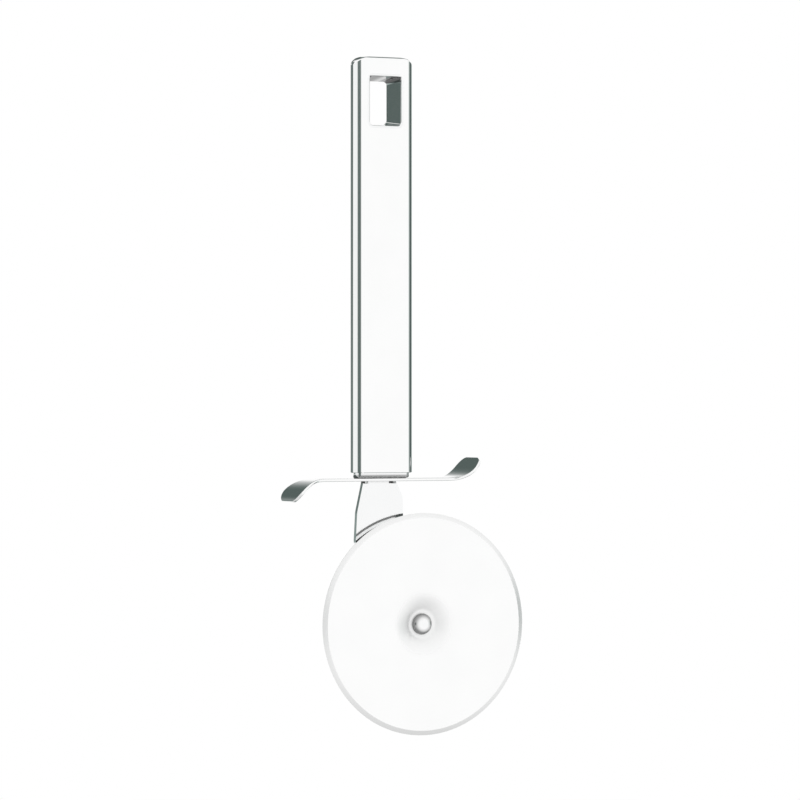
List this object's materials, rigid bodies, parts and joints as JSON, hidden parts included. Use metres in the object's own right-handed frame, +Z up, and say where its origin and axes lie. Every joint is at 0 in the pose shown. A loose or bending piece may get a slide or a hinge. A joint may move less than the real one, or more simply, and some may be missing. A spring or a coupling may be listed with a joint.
{
  "type": "pizza cutter",
  "caption": "Pizza cutter with a hollow steel handle, hanging slot, bent finger guard and a freely turning cutting wheel riveted to an offset arm.",
  "frame": {"origin": "middle of the hanging slot's top wall, at mid thickness of the handle", "axes": "+Z up along the handle with the wheel down, +X to the right of the handle's face, on the side the wheel is offset to, +Y to the handle's back"},
  "size_m": [0.0806, 0.0144, 0.2132],
  "materials": {
    "shell_steel": "mirror polished stainless steel",
    "liner_steel": "bright drawn stainless steel",
    "plug_steel": "polished stainless steel",
    "pin_steel": "ground steel",
    "guard_steel": "polished stainless steel",
    "arm_steel": "polished stainless steel",
    "washer_steel": "bright stamped steel",
    "rivet_steel": "polished steel, domed and peened",
    "bush_steel": "turned steel",
    "wheel_steel": "mirror polished hardened stainless steel with a ground bevel"
  },
  "bodies": {
    "grip": {"front_shell": "shell_steel", "back_shell": "shell_steel", "slot_liner": "liner_steel", "end_plug": "plug_steel", "tang_pins": "pin_steel", "finger_guard": "guard_steel", "blade_arm": "arm_steel", "spacer_washer": "washer_steel", "axle_rivet": "rivet_steel", "burr_washer": "washer_steel"},
    "wheel": {"wheel_bush": "bush_steel", "cutting_wheel": "wheel_steel"}
  },
  "joints": [
    {"name": "wheel_spin", "type": "hinge", "parent": "grip", "child": "wheel", "pos_m": [0.0137, -0.0015, -0.1715], "axis": [0, 1, 0], "continuous": true}
  ]
}
